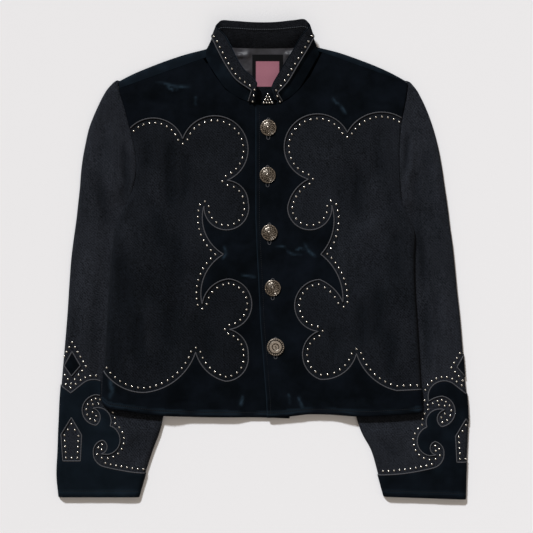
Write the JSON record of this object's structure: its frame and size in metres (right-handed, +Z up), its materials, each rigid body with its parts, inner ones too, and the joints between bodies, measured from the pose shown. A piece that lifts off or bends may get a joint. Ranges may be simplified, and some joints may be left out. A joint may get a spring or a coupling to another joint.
{
  "type": "western jacket, laid flat and buttoned",
  "caption": "Western jacket laid flat: dark twill with a scalloped velvet yoke, front bands and cuffs edged in cord and nailheads, a stand collar and domed metal buttons.",
  "frame": {"origin": "The middle of the jacket's footprint, on the floor that it lies on.", "axes": "+X towards the wearer's left sleeve, +Y from the hem to the collar, +Z up from the floor, through the back to the fronts."},
  "size_m": [0.6386, 0.74, 0.0237],
  "materials": {
    "twill": "fine dark charcoal twill, faintly heathered, matt",
    "velvet": "short-pile blue-black velvet with a cool sheen at its turns",
    "lining": "charcoal satin, crumpled, soft highlights",
    "label": "plain woven satin label, rose field on near-black",
    "cord": "twisted grey couching cord",
    "silver": "antiqued cast silver with dark recesses"
  },
  "bodies": {
    "root": {"back_panel": "twill", "back_yoke": "velvet", "right_front": "twill", "left_front": "twill", "right_front_velvet": "velvet", "left_front_velvet": "velvet", "right_sleeve_top": "twill", "left_sleeve_top": "twill", "right_sleeve_under": "twill", "left_sleeve_under": "twill", "right_cuff_velvet": "velvet", "left_cuff_velvet": "velvet", "right_cuff_diamond": "velvet", "left_cuff_diamond": "velvet", "collar": "velvet", "collar_band": "twill", "neck_tab": "velvet", "back_lining": "lining", "neck_label": "label", "button_1": "silver", "button_2": "silver", "button_3": "silver", "button_4": "silver", "button_5": "silver"}
  },
  "joints": []
}
